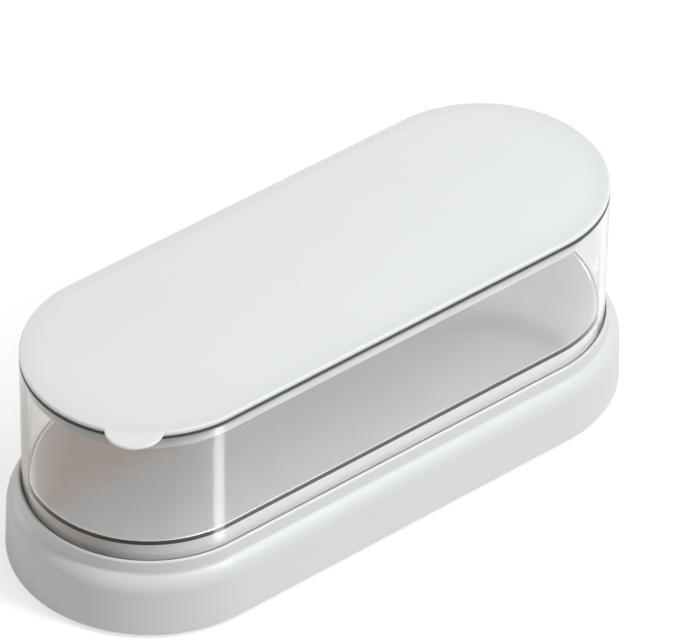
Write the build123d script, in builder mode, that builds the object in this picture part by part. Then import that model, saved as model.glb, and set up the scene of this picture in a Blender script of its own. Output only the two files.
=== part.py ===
from build123d import *
import math
import os

# Ultrasonic jewellery cleaner: a long tank with round ends on a wider base.
# Millimetres. +X runs along the tank, +Z up, the ground is z = 0 and the
# origin is under the middle. The lid's tab is at the -X -Y corner. The button
# and the charging socket are in the back, +Y.

os.makedirs("parts", exist_ok=True)

# Plan of the tank and the base
half_span = 60.5
tank_radius = 36.0
wall_thickness = 1.8
base_overhang = 4.5
skirt_flare = 0.5
shell_thickness = 2.0

# Heights, from the ground up
foot_proud = 1.0
cover_thickness = 2.0
skirt_height = 14.5
neck_top = 25.0
groove_depth = 2.5
deck_thickness = 2.0
collar_height = 6.9
pan_thickness = 0.6
pan_rim_height = 0.6
tank_seal_height = 0.85
tank_seal_width = 0.5
wall_height = 46.1
lid_seal_thickness = 1.15
lid_thickness = 1.25
lid_ring_depth = 5.6

# Clearances
slip = 0.1
easy = 0.25
moving = 0.3
thread_gap = 0.05
solder_gap = 0.15

# Lid
lid_edge_radius = 0.6
lid_ring_thickness = 1.6
lid_ring_edge_radius = 0.4
tab_radius = 8.3
tab_reach = 33.7
tab_angle = 45.3
tab_edge_radius = 0.4
tab_step = 0.2

# Tank floor and what carries it
pan_bend_radius = 0.9
collar_thickness = 2.0
collar_ledge_width = 5.0
collar_ledge_thickness = 1.8
deck_width = 9.0
collar_boss_radius = 3.0
collar_boss_inset = 5.5
collar_boss_angle = 50.0
collar_hole_depth = 6.0

# Shoulder of the base and the neck that holds the wall
shoulder_radius = 6.0
neck_thickness = 1.1
neck_outer_edge = 0.5
neck_inner_edge = 0.4
neck_foot_radius = 1.0
foot_line_edge = 0.8

# Screws
screw_radius = 1.2
screw_head_radius = 2.2
screw_head_height = 1.4
recess_length = 2.4
recess_width = 0.6
recess_depth = 0.7
collar_screw_length = 6.5
cover_screw_length = 10.0
board_screw_length = 3.6
tray_screw_length = 3.0
screw_hole_radius = screw_radius + easy
pilot_radius = screw_radius + thread_gap

# Bottom cover and feet
cover_pad_radius = 4.0
cover_pad_height = 1.6
counterbore_depth = 1.8
shell_boss_radius = 3.5
shell_boss_inset = 3.0
shell_boss_spread = 38.0
shell_boss_hole = 9.5
upstand_thickness = 1.1
upstand_height = 1.6
gasket_width = 0.5
gasket_height = 1.2
foot_radius = 6.0
foot_thickness = 2.2
foot_inset = 8.0
foot_angle = 45.0
foot_edge_radius = 0.5

# Circuit board
board_thickness = 1.6
standoff_height = 3.2
standoff_radius = 3.0
standoff_hole = 4.0
board_left = 3.0
board_right = 80.0
board_half_width = 27.0
board_corner = 2.0
arm_left = -14.0
arm_right = 33.0
arm_start = 22.0
arm_gap = 2.2
board_screw_inset = 4.0
arm_screw_x = -10.5
arm_screw_y = 26.0

# Button and its switch
button_width = 10.0
button_height = 5.0
button_proud = 0.2
button_travel = 0.5
button_edge_radius = 0.4
flange_lip = 1.2
flange_thickness = 1.0
stem_radius = 1.4
stem_length = 3.0
button_pad_lip = 2.0
button_pad_depth = 0.75
notch_lip = 1.0
switch_width = 6.0
switch_depth = 3.5
switch_height = 3.4
switch_gap = 1.1
plunger_radius = 0.9
plunger_inside = 1.6

# Charging socket and status light
socket_x = 24.0
socket_width = 8.94
socket_height = 3.26
socket_depth = 7.35
socket_wall = 0.3
socket_setback = 1.1
socket_floor = 1.0
tongue_width = 6.7
tongue_thickness = 0.7
tongue_setback = 0.6
plug_recess_width = 12.4
plug_recess_height = 6.6
plug_recess_depth = 0.6
light_x = 12.0
light_radius = 1.25
led_radius = 1.5
led_length = 4.0
led_gap = 0.2
guide_length = 8.0

# Transducer under the tank floor
bond_thickness = 0.15
piezo_radius = 22.0
piezo_thickness = 2.5
electrode_thickness = 0.1
electrode_inset = 1.0
earth_x = 7.0
earth_y = -11.2
earth_radius = 2.6
earth_gap = 0.7
drive_x = 13.25
drive_y = -5.5
solder_length = 2.0
solder_width = 2.0
solder_height = 1.5

# Battery
cell_radius = 9.15
cell_length = 65.0
cell_gap = 0.9
cell_right = -7.0
cell_button_radius = 4.0
cell_button_height = 0.8
cell_edge_radius = 0.8
tray_floor = 0.85
tray_height = 7.0
tray_wall = 1.2
tray_end_gap = 2.5
tab_strip_thickness = 0.2
tab_strip_width = 5.0
strip_tongue = 6.0
ear_inset = 15.0
ear_thickness = 2.0

# Leads and connectors
lead_radius = 0.6
bend_share = 0.45
pin_pitch = 2.5
connector_width = 7.5
connector_depth = 5.0
header_height = 3.0
lying_header_height = 6.0
connector_height = 6.8
plug_step = 0.5
plug_reach = 4.0
piezo_plug_x = 14.0
piezo_plug_y = -21.0
battery_header_x = 19.0
battery_header_y = 11.35
lead_rise = 6.0
lead_run = 6.5

# Parts on the board
transformer_x = 30.0
transformer_y = -10.0
core_length = 18.0
core_width = 6.0
core_height = 13.0
core_leg = 4.0
core_yoke = 2.5
bobbin_wall = 0.8
winding_thickness = 2.8
capacitor_radius = 4.0
capacitor_height = 11.0
capacitor_edge_radius = 0.4
capacitor_y = -18.0
capacitor_places = (49.0, 59.0)
coil_x = 68.0
coil_y = -9.0
coil_radius = 5.5
coil_height = 6.5
coil_flange = 1.2
coil_neck_radius = 3.6
sink_x = 58.0
sink_y = 16.0
sink_length = 26.0
sink_plate = 2.0
sink_depth = 8.0
sink_height = 13.0
sink_fins = 6
sink_fin_thickness = 1.2
transistor_width = 10.0
transistor_depth = 4.4
transistor_height = 9.0
transistor_spread = 12.5
transistor_lift = 3.0
leg_width = 0.8
leg_thickness = 0.5
leg_pitch = 2.5
chip_x = 46.0
chip_y = 2.0
chip_length = 10.0
chip_width = 4.0
chip_height = 1.5
chip_lift = 0.2
chip_legs = 8
chip_leg_pitch = 1.2
chip_leg_width = 0.5
chip_leg_reach = 1.0
chip_leg_height = 0.8

# Heights and radii that follow from the values above
cover_top = foot_proud + cover_thickness
skirt_top = foot_proud + skirt_height
deck_top = neck_top - groove_depth
deck_bottom = deck_top - deck_thickness
collar_top = deck_top + collar_height
tank_floor = collar_top + pan_thickness
wall_top = deck_top + wall_height
lid_bottom = wall_top + lid_seal_thickness
lid_top = lid_bottom + lid_thickness
inner_radius = tank_radius - wall_thickness
collar_radius = inner_radius - slip
skirt_top_radius = tank_radius + base_overhang
foot_line_radius = skirt_top_radius + skirt_flare
neck_inner_radius = tank_radius + easy
neck_radius = neck_inner_radius + neck_thickness
cover_radius = foot_line_radius - shell_thickness - easy
upstand_radius = cover_radius - gasket_width - slip
deck_inner_radius = tank_radius - deck_width
pad_top = cover_top + cover_pad_height
board_bottom = cover_top + standoff_height
board_top = board_bottom + board_thickness
port_height = board_top + socket_height / 2

# A half section is drawn here as (distance from the end's centre, height)
section_plane = Plane(origin=(half_span, 0, 0), x_dir=(0, -1, 0), z_dir=(-1, 0, 0))
end_axis = Axis((half_span, 0, 0), (0, 0, 1))


def slab(radius, low, high):
    """A plate with two round ends of the given radius, between two heights."""
    with BuildSketch(Plane.XY.offset(low)) as outline:
        SlotCenterToCenter(2 * half_span, 2 * radius)
    extrude(outline.sketch, amount=high - low)


def ring(outer, inner, low, high):
    """A band round the tank between two radii and two heights."""
    with BuildSketch(Plane.XY.offset(low)) as outline:
        SlotCenterToCenter(2 * half_span, 2 * outer)
        SlotCenterToCenter(2 * half_span, 2 * inner, mode=Mode.SUBTRACT)
    extrude(outline.sketch, amount=high - low)


def carry_round(section):
    """Carry a half section along both sides and round both ends."""
    side = extrude(section, amount=2 * half_span, mode=Mode.PRIVATE)
    end = revolve(section, axis=end_axis, revolution_arc=180, mode=Mode.PRIVATE)
    add(side)
    add(end)
    mirror(side, about=Plane.XZ)
    mirror(end, about=Plane.YZ)


def box_between(low, high, mode=Mode.ADD):
    """A box from its lowest corner to its highest."""
    size = [b - a for a, b in zip(low, high)]
    with Locations(low):
        Box(*size, align=(Align.MIN, Align.MIN, Align.MIN), mode=mode)


def rod(x, y, low, high, radius, mode=Mode.ADD):
    """An upright cylinder between two heights."""
    with Locations((x, y, low)):
        Cylinder(radius, high - low, align=(Align.CENTER, Align.CENTER, Align.MIN), mode=mode)


def end_point(side_x, side_y, reach, angle):
    """A point at a distance from an end's centre, at an angle off the long axis."""
    turn = math.radians(angle)
    return (
        side_x * (half_span + reach * math.cos(turn)),
        side_y * reach * math.sin(turn),
    )


def skirt_radius(height):
    """The outer radius of the flared skirt at a height."""
    return skirt_top_radius + skirt_flare * (skirt_top - height) / skirt_height


def save(piece, name):
    """Label a finished piece and write it."""
    piece.part.label = name
    export_step(piece.part, f"parts/{name}.step")


corners = [(-1, -1), (-1, 1), (1, -1), (1, 1)]
collar_boss_reach = tank_radius - collar_boss_inset
collar_screw_places = [
    end_point(sx, sy, collar_boss_reach, collar_boss_angle) for sx, sy in corners
]
collar_screw_places += [(0, -collar_boss_reach), (0, collar_boss_reach)]
shell_boss_reach = tank_radius - shell_boss_inset
foot_reach = tank_radius - foot_inset
cover_screw_places = [(sx * shell_boss_spread, sy * shell_boss_reach) for sx, sy in corners]
cover_screw_places += [end_point(sx, 0, shell_boss_reach, 0) for sx in (-1, 1)]
foot_places = [end_point(sx, sy, foot_reach, foot_angle) for sx, sy in corners]

# Faces of the back wall at the height of the button and the socket
back_outer = skirt_radius(port_height)
back_inner = back_outer - shell_thickness
button_pad_face = back_inner - button_pad_depth
button_front = back_outer + button_proud
flange_front = button_pad_face - thread_gap
flange_back = flange_front - flange_thickness
stem_end = flange_back - stem_length
switch_front = stem_end - switch_gap
arm_edge = back_inner - arm_gap
notch_edge = switch_front + thread_gap
flange_width = button_width + 2 * flange_lip
flange_height = button_height + 2 * flange_lip


# Lid: a flat plate with a lifting tab
tab_x, tab_y = end_point(-1, -1, tab_reach, tab_angle)
tab_top = lid_top - tab_step
with BuildPart() as lid:
    slab(tank_radius, lid_bottom, lid_top)
    fillet(lid.edges().group_by(Axis.Z)[-1], lid_edge_radius)
    with BuildSketch(Plane.XY.offset(lid_bottom)) as tab_outline:
        with Locations((tab_x, tab_y)):
            Circle(tab_radius)
        SlotCenterToCenter(2 * half_span, 2 * (tank_radius - lid_edge_radius), mode=Mode.SUBTRACT)
    extrude(amount=tab_top - lid_bottom)
    tab_edges = lid.edges().filter_by(GeomType.CIRCLE).filter_by(
        lambda edge: abs(edge.radius - tab_radius) < slip
    )
    fillet(tab_edges, tab_edge_radius)
save(lid, "lid")

# Lid ring: a milky white ring glued under the plate, which drops into the tank
lid_ring_radius = inner_radius - moving
with BuildPart() as lid_ring:
    ring(
        lid_ring_radius,
        lid_ring_radius - lid_ring_thickness,
        lid_bottom - lid_ring_depth,
        lid_bottom,
    )
    fillet(lid_ring.edges().group_by(Axis.Z)[0], lid_ring_edge_radius)
save(lid_ring, "lid_ring")

# Lid seal: a flat dark ring under the plate, round the lid ring
with BuildPart() as lid_seal:
    ring(tank_radius, lid_ring_radius + thread_gap, wall_top, lid_bottom)
save(lid_seal, "lid_seal")

# Clear wall of the tank, standing in the groove of the base
with BuildPart() as tank_wall:
    ring(tank_radius, inner_radius, deck_top, wall_top)
save(tank_wall, "tank_wall")

# Tank floor: a flat steel pan whose edge turns up against the wall
pan_radius = inner_radius - tank_seal_width - thread_gap
pan_top = tank_floor + pan_rim_height
pan_inner_bend = pan_bend_radius - pan_thickness
with BuildPart() as tank_pan:
    with BuildSketch(section_plane) as pan_section:
        with BuildLine():
            Polyline((0, tank_floor), (0, collar_top), (pan_radius - pan_bend_radius, collar_top))
            RadiusArc(
                (pan_radius - pan_bend_radius, collar_top),
                (pan_radius, collar_top + pan_bend_radius),
                -pan_bend_radius,
            )
            Polyline(
                (pan_radius, collar_top + pan_bend_radius),
                (pan_radius, pan_top),
                (pan_radius - pan_thickness, pan_top),
                (pan_radius - pan_thickness, collar_top + pan_bend_radius),
            )
            RadiusArc(
                (pan_radius - pan_thickness, collar_top + pan_bend_radius),
                (pan_radius - pan_bend_radius, tank_floor),
                pan_inner_bend,
            )
            Line((pan_radius - pan_bend_radius, tank_floor), (0, tank_floor))
        make_face()
    carry_round(pan_section.sketch)
save(tank_pan, "tank_pan")

# Tank seal: a dark bead between the pan's edge and the clear wall
with BuildPart() as tank_seal:
    ring(
        inner_radius - thread_gap,
        pan_radius + thread_gap,
        collar_top,
        collar_top + tank_seal_height,
    )
save(tank_seal, "tank_seal")

# Collar: a white ring inside the wall's foot that carries the pan
with BuildPart() as tank_collar:
    ring(collar_radius, collar_radius - collar_thickness, deck_top, collar_top)
    ring(
        collar_radius - collar_thickness,
        collar_radius - collar_ledge_width,
        collar_top - collar_ledge_thickness,
        collar_top,
    )
    for x, y in collar_screw_places:
        rod(x, y, deck_top, collar_top - collar_ledge_thickness, collar_boss_radius)
    for x, y in collar_screw_places:
        rod(x, y, deck_top, deck_top + collar_hole_depth, pilot_radius, Mode.SUBTRACT)
save(tank_collar, "tank_collar")

# Base shell: flared skirt, round shoulder, a neck round the wall and the inner deck
shoulder_centre_radius = skirt_top_radius - shoulder_radius
neck_foot = skirt_top + math.sqrt(
    shoulder_radius**2 - (neck_radius - shoulder_centre_radius) ** 2
)
inner_shoulder_radius = deck_bottom - skirt_top
inner_skirt_top_radius = skirt_top_radius - shell_thickness
foot_inner_radius = foot_line_radius - shell_thickness
with BuildPart() as base_shell:
    with BuildSketch(section_plane) as shell_section:
        with BuildLine():
            Line((foot_line_radius, foot_proud), (skirt_top_radius, skirt_top))
            RadiusArc((skirt_top_radius, skirt_top), (neck_radius, neck_foot), -shoulder_radius)
            Polyline(
                (neck_radius, neck_foot),
                (neck_radius, neck_top),
                (neck_inner_radius, neck_top),
                (neck_inner_radius, deck_top),
                (deck_inner_radius, deck_top),
                (deck_inner_radius, deck_bottom),
                (inner_skirt_top_radius - inner_shoulder_radius, deck_bottom),
            )
            RadiusArc(
                (inner_skirt_top_radius - inner_shoulder_radius, deck_bottom),
                (inner_skirt_top_radius, skirt_top),
                inner_shoulder_radius,
            )
            Polyline(
                (inner_skirt_top_radius, skirt_top),
                (foot_inner_radius, foot_proud),
                (foot_line_radius, foot_proud),
            )
        make_face()
        # Round the neck's top, its foot and the line where the skirt meets the ground
        for corner, rounding in (
            ((neck_radius, neck_top), neck_outer_edge),
            ((neck_inner_radius, neck_top), neck_inner_edge),
            ((neck_radius, neck_foot), neck_foot_radius),
            ((foot_line_radius, foot_proud), foot_line_edge),
        ):
            fillet(shell_section.vertices().sort_by_distance(corner)[0], rounding)
    carry_round(shell_section.sketch)
    for x, y in cover_screw_places:
        rod(x, y, pad_top, deck_bottom, shell_boss_radius)
    for x, y in cover_screw_places:
        rod(x, y, pad_top, pad_top + shell_boss_hole, pilot_radius, Mode.SUBTRACT)
    for x, y in collar_screw_places:
        rod(x, y, deck_bottom, deck_top, screw_hole_radius, Mode.SUBTRACT)
    # Flat pad inside the back wall, round the button
    with BuildSketch(Plane.XZ.offset(-button_pad_face)):
        with Locations((0, port_height)):
            SlotOverall(button_width + 2 * button_pad_lip, button_height + 2 * button_pad_lip)
    extrude(amount=-button_pad_depth - shell_thickness / 2)
    # Holes for the button, the light and the charging plug
    with BuildSketch(Plane.XZ.offset(-button_pad_face)):
        with Locations((0, port_height)):
            SlotOverall(button_width + 2 * moving, button_height + 2 * moving)
        with Locations((light_x, port_height)):
            Circle(light_radius + thread_gap)
        with Locations((socket_x, port_height)):
            SlotOverall(socket_width + 2 * moving, socket_height + 2 * moving)
    extrude(amount=-2 * (back_outer - button_pad_face), mode=Mode.SUBTRACT)
    with BuildSketch(Plane.XZ.offset(plug_recess_depth - back_outer)):
        with Locations((socket_x, port_height)):
            SlotOverall(plug_recess_width, plug_recess_height)
    extrude(amount=-shell_thickness, mode=Mode.SUBTRACT)
save(base_shell, "base_shell")


def screw(x, y, seat, length, head_side):
    """A cross head screw on its seat, with the head above it (1) or below it (-1)."""
    head_end = seat + head_side * screw_head_height
    tip = seat - head_side * length
    rod(x, y, min(seat, head_end), max(seat, head_end), screw_head_radius)
    rod(x, y, min(seat, tip), max(seat, tip), screw_radius)
    with Locations((x, y, head_end - head_side * recess_depth / 2)):
        Box(recess_length, recess_width, recess_depth, mode=Mode.SUBTRACT)
        Box(recess_width, recess_length, recess_depth, mode=Mode.SUBTRACT)


# Screws that pull the collar down on the deck
with BuildPart() as collar_screws:
    for x, y in collar_screw_places:
        screw(x, y, deck_bottom, collar_screw_length, -1)
save(collar_screws, "collar_screws")

# Where the battery lies, and the screws that hold the board and its tray
cell_spread = cell_radius + cell_gap / 2
cell_height = cover_top + tray_floor + cell_radius
cell_left = cell_right - cell_length
tray_left = cell_left - tray_end_gap - tray_wall
tray_right = cell_right + tray_end_gap + tray_wall
tray_half_width = cell_spread + cell_radius + tray_wall
board_screw_places = [
    (board_left + board_screw_inset, -board_half_width + board_screw_inset),
    (board_right - board_screw_inset, -board_half_width + board_screw_inset),
    (board_right - board_screw_inset, board_half_width - board_screw_inset),
    (arm_screw_x, arm_screw_y),
]
ear_reach = tray_half_width + standoff_radius
tray_screw_places = [
    (tray_left + ear_inset, -ear_reach),
    (tray_right - ear_inset, ear_reach),
]

# Bottom cover: a plate inside the skirt, with an upstand, pads and standoffs
with BuildPart() as bottom_cover:
    slab(cover_radius, foot_proud, cover_top)
    ring(upstand_radius, upstand_radius - upstand_thickness, cover_top, cover_top + upstand_height)
    for x, y in cover_screw_places:
        rod(x, y, cover_top, pad_top, cover_pad_radius)
    for x, y in board_screw_places + tray_screw_places:
        rod(x, y, cover_top, board_bottom, standoff_radius)
        rod(x, y, board_bottom - standoff_hole, board_bottom, pilot_radius, Mode.SUBTRACT)
    for x, y in cover_screw_places:
        rod(x, y, foot_proud, pad_top, screw_hole_radius, Mode.SUBTRACT)
        counterbore_top = foot_proud + counterbore_depth
        rod(x, y, foot_proud, counterbore_top, screw_head_radius + moving, Mode.SUBTRACT)
    for x, y in foot_places:
        rod(x, y, foot_proud, foot_thickness, foot_radius + slip, Mode.SUBTRACT)
save(bottom_cover, "bottom_cover")

# Gasket between the cover's upstand and the inside of the skirt
gasket_top = cover_top + gasket_height
gasket_outer = skirt_radius(gasket_top) - shell_thickness - thread_gap
with BuildPart() as cover_gasket:
    ring(gasket_outer, upstand_radius + thread_gap, cover_top, gasket_top)
save(cover_gasket, "cover_gasket")

# Screws that close the bottom cover
with BuildPart() as cover_screws:
    for x, y in cover_screw_places:
        screw(x, y, foot_proud + counterbore_depth, cover_screw_length, -1)
save(cover_screws, "cover_screws")

# Four rubber feet
for number, (x, y) in enumerate(foot_places, start=1):
    with BuildPart() as foot:
        rod(x, y, 0, foot_thickness, foot_radius)
        fillet(foot.edges().group_by(Axis.Z)[0], foot_edge_radius)
    save(foot, f"foot_{number}")

# Circuit board: a plate beside the battery, with an arm that reaches the back wall
with BuildPart() as main_board:
    box_between(
        (board_left, -board_half_width, board_bottom), (board_right, board_half_width, board_top)
    )
    box_between((arm_left, arm_start, board_bottom), (arm_right, arm_edge, board_top))
    fillet(main_board.edges().filter_by(Axis.Z), board_corner)
    notch_half = flange_width / 2 + notch_lip
    box_between(
        (-notch_half, notch_edge, board_bottom),
        (notch_half, back_inner, board_top),
        mode=Mode.SUBTRACT,
    )
    for x, y in board_screw_places:
        rod(x, y, board_bottom, board_top, screw_hole_radius, Mode.SUBTRACT)
save(main_board, "main_board")

with BuildPart() as board_screws:
    for x, y in board_screw_places:
        screw(x, y, board_top, board_screw_length, 1)
save(board_screws, "board_screws")

# Power button: an obround cap in the back wall, with a flange and a stem behind it
with BuildPart() as power_button:
    with BuildSketch(Plane.XZ.offset(-flange_front)):
        with Locations((0, port_height)):
            SlotOverall(button_width, button_height)
    extrude(amount=flange_front - button_front)
    fillet(power_button.edges().group_by(Axis.Y)[-1], button_edge_radius)
    with BuildSketch(Plane.XZ.offset(-flange_front)):
        with Locations((0, port_height)):
            SlotOverall(flange_width, flange_height)
    extrude(amount=flange_thickness)
    with BuildSketch(Plane.XZ.offset(-flange_back)):
        with Locations((0, port_height)):
            Circle(stem_radius)
    extrude(amount=stem_length)
save(power_button, "power_button")

# Push switch on the board's edge, and the plunger that the button's stem pushes
with BuildPart() as switch_body:
    box_between(
        (-switch_width / 2, switch_front - switch_depth, board_top),
        (switch_width / 2, switch_front, board_top + switch_height),
    )
    with BuildSketch(Plane.XZ.offset(-switch_front)):
        with Locations((0, port_height)):
            Circle(plunger_radius + moving)
    extrude(amount=plunger_inside + button_travel + moving, mode=Mode.SUBTRACT)
save(switch_body, "switch_body")

with BuildPart() as switch_plunger:
    with BuildSketch(Plane.XZ.offset(-stem_end)):
        with Locations((0, port_height)):
            Circle(plunger_radius)
    extrude(amount=switch_gap + plunger_inside)
save(switch_plunger, "switch_plunger")

# Status light: a lamp on the board and the guide that takes its light to the wall
guide_back = back_outer - guide_length
led_front = guide_back - led_gap
with BuildPart() as light_guide:
    with BuildSketch(Plane.XZ.offset(-back_outer)):
        with Locations((light_x, port_height)):
            Circle(light_radius)
    extrude(amount=guide_length)
save(light_guide, "light_guide")

with BuildPart() as status_led:
    with BuildSketch(Plane.XZ.offset(-led_front)):
        with Locations((light_x, port_height)):
            Circle(led_radius)
    extrude(amount=led_length)
    box_between(
        (light_x - led_radius, led_front - led_length, board_top),
        (light_x + led_radius, led_front - led_length / 2, port_height),
    )
save(status_led, "status_led")

# Charging socket: a thin metal sleeve with a contact tongue inside
socket_front = back_outer - socket_setback
socket_back = socket_front - socket_depth
with BuildPart() as charge_socket:
    with BuildSketch(Plane.XZ.offset(-socket_front)):
        with Locations((socket_x, port_height)):
            SlotOverall(socket_width, socket_height)
    extrude(amount=socket_depth)
    with BuildSketch(Plane.XZ.offset(-socket_front)):
        with Locations((socket_x, port_height)):
            SlotOverall(socket_width - 2 * socket_wall, socket_height - 2 * socket_wall)
    extrude(amount=socket_depth - socket_floor, mode=Mode.SUBTRACT)
save(charge_socket, "charge_socket")

with BuildPart() as socket_tongue:
    box_between(
        (
            socket_x - tongue_width / 2,
            socket_back + socket_floor,
            port_height - tongue_thickness / 2,
        ),
        (
            socket_x + tongue_width / 2,
            socket_front - tongue_setback,
            port_height + tongue_thickness / 2,
        ),
    )
save(socket_tongue, "socket_tongue")

# Transducer: a ceramic disc glued under the tank floor, silvered underneath
piezo_top = collar_top - bond_thickness
piezo_bottom = piezo_top - piezo_thickness
electrode_bottom = piezo_bottom - electrode_thickness
with BuildPart() as piezo_bond:
    rod(0, 0, piezo_top, collar_top, piezo_radius)
save(piezo_bond, "piezo_bond")

with BuildPart() as piezo_disc:
    rod(0, 0, piezo_bottom, piezo_top, piezo_radius)
save(piezo_disc, "piezo_disc")

with BuildPart() as piezo_electrode:
    rod(0, 0, electrode_bottom, piezo_bottom, piezo_radius - electrode_inset)
    rod(
        earth_x,
        earth_y,
        electrode_bottom,
        piezo_bottom,
        earth_radius + earth_gap,
        Mode.SUBTRACT,
    )
    rod(earth_x, earth_y, electrode_bottom, piezo_bottom, earth_radius)
save(piezo_electrode, "piezo_electrode")

# Battery: two cells in a tray, joined by a strip at each end
with BuildPart() as battery_tray:
    box_between(
        (tray_left, -tray_half_width, cover_top), (tray_right, tray_half_width, cover_top + tray_height)
    )
    fillet(battery_tray.edges().filter_by(Axis.Z), tray_wall)
    for side in (-1, 1):
        with BuildSketch(Plane.YZ.offset(tray_left + tray_wall)):
            with Locations((side * cell_spread, cell_height)):
                Circle(cell_radius + slip)
        extrude(amount=tray_right - tray_left - 2 * tray_wall, mode=Mode.SUBTRACT)
    for x, y in tray_screw_places:
        rod(x, y, board_bottom, board_bottom + ear_thickness, standoff_radius)
        low_y = min(abs(y), tray_half_width) * math.copysign(1, y)
        box_between(
            (x - standoff_radius, min(low_y, y), board_bottom),
            (x + standoff_radius, max(low_y, y), board_bottom + ear_thickness),
        )
        rod(
            x,
            y,
            board_bottom,
            board_bottom + ear_thickness,
            screw_hole_radius,
            Mode.SUBTRACT,
        )
save(battery_tray, "battery_tray")

with BuildPart() as tray_screws:
    for x, y in tray_screw_places:
        screw(x, y, board_bottom + ear_thickness, tray_screw_length + ear_thickness, 1)
save(tray_screws, "tray_screws")

can_right = cell_right - cell_button_height
for number, side in enumerate((-1, 1), start=1):
    with BuildPart() as cell:
        with BuildSketch(Plane.YZ.offset(cell_left)):
            with Locations((side * cell_spread, cell_height)):
                Circle(cell_radius)
        extrude(amount=can_right - cell_left)
        fillet(cell.edges().filter_by(GeomType.CIRCLE), cell_edge_radius)
        with BuildSketch(Plane.YZ.offset(can_right)):
            with Locations((side * cell_spread, cell_height)):
                Circle(cell_button_radius)
        extrude(amount=cell_button_height)
    save(cell, f"battery_cell_{number}")

strip_half = cell_spread + tab_strip_width / 2
strip_low = cell_height - tab_strip_width / 2
strip_high = cell_height + tab_strip_width / 2
earth_lead_height = cell_height + strip_tongue
with BuildPart() as battery_strips:
    box_between(
        (cell_left - tab_strip_thickness, -strip_half, strip_low),
        (cell_left, strip_half, strip_high),
    )
    box_between(
        (cell_left - tab_strip_thickness, -solder_width, strip_high),
        (cell_left, solder_width, earth_lead_height + solder_height),
    )
    box_between(
        (cell_right, -strip_half, strip_low),
        (cell_right + tab_strip_thickness, strip_half, strip_high),
    )
save(battery_strips, "battery_strips")

# Connectors: an upright pair for the transducer, a lying pair for the battery
with BuildPart() as piezo_header:
    box_between(
        (
            piezo_plug_x - connector_width / 2,
            piezo_plug_y - connector_depth / 2,
            board_top,
        ),
        (
            piezo_plug_x + connector_width / 2,
            piezo_plug_y + connector_depth / 2,
            board_top + header_height,
        ),
    )
save(piezo_header, "piezo_header")

plug_half_width = connector_width / 2 - plug_step
plug_half_depth = connector_depth / 2 - plug_step
with BuildPart() as piezo_plug:
    box_between(
        (piezo_plug_x - plug_half_width, piezo_plug_y - plug_half_depth, board_top + header_height),
        (
            piezo_plug_x + plug_half_width,
            piezo_plug_y + plug_half_depth,
            board_top + connector_height,
        ),
    )
save(piezo_plug, "piezo_plug")

battery_lead_height = board_top + header_height
battery_plug_left = battery_header_x - plug_reach
with BuildPart() as battery_header:
    box_between(
        (battery_header_x, battery_header_y - connector_width / 2, board_top),
        (
            battery_header_x + connector_depth,
            battery_header_y + connector_width / 2,
            board_top + lying_header_height,
        ),
    )
save(battery_header, "battery_header")

with BuildPart() as battery_plug:
    box_between(
        (
            battery_plug_left,
            battery_header_y - plug_half_width,
            battery_lead_height - plug_half_depth,
        ),
        (
            battery_header_x,
            battery_header_y + plug_half_width,
            battery_lead_height + plug_half_depth,
        ),
    )
save(battery_plug, "battery_plug")

# Solder where the leads meet the disc and the battery's strips
disc_lead_height = electrode_bottom - solder_gap - lead_radius
red_lead_x = cell_right + tab_strip_thickness + solder_length
black_lead_x = cell_left + solder_length
with BuildPart() as solder_joints:
    for x, y in ((drive_x, drive_y), (earth_x, earth_y)):
        box_between(
            (x - solder_width / 2, y - solder_length / 2, electrode_bottom - solder_height),
            (x + solder_width / 2, y + solder_length / 2, electrode_bottom),
        )
    box_between(
        (cell_left, -solder_width / 2, earth_lead_height - solder_height / 2),
        (black_lead_x, solder_width / 2, earth_lead_height + solder_height / 2),
    )
    box_between(
        (
            cell_right + tab_strip_thickness,
            cell_spread - solder_width / 2,
            cell_height - solder_height / 2,
        ),
        (red_lead_x, cell_spread + solder_width / 2, cell_height + solder_height / 2),
    )
save(solder_joints, "solder_joints")


def bend_radii(points):
    """The largest even bend at each corner of a lead's route."""
    corners_in = [Vector(p) for p in points]
    radii = []
    for before, here, after in zip(corners_in, corners_in[1:], corners_in[2:]):
        run_in = here - before
        run_out = after - here
        half_turn = math.radians(run_in.get_angle(run_out)) / 2
        radii.append(bend_share * min(run_in.length, run_out.length) / math.tan(half_turn))
    return radii


def lead(points, name):
    """A round wire along straight runs joined by arcs."""
    radii = bend_radii(points)
    with BuildPart() as wire:
        with BuildLine() as route:
            FilletPolyline(*points, radius=radii)
        with BuildSketch(Plane(origin=route.line @ 0, z_dir=route.line % 0)):
            Circle(lead_radius)
        sweep()
    length = sum(edge.length for edge in route.edges())
    whole = wire.part.volume / (math.pi * lead_radius**2 * length)
    print(name, "length", round(length, 1), "bends", [round(r, 1) for r in radii])
    print(name, "volume over section times length", round(whole, 3))
    save(wire, name)


# Leads from the board to the disc
plug_top = board_top + connector_height
for name, x, y, pin_offset in (
    ("piezo_lead_red", drive_x, drive_y, pin_pitch / 2),
    ("piezo_lead_black", earth_x, earth_y, -pin_pitch / 2),
):
    start_x = piezo_plug_x + pin_offset
    end_y = y - solder_length / 2
    lead(
        [
            (start_x, piezo_plug_y, plug_top),
            (start_x, piezo_plug_y, plug_top + lead_rise),
            (x, end_y - lead_run, disc_lead_height),
            (x, end_y, disc_lead_height),
        ],
        name,
    )

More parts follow.
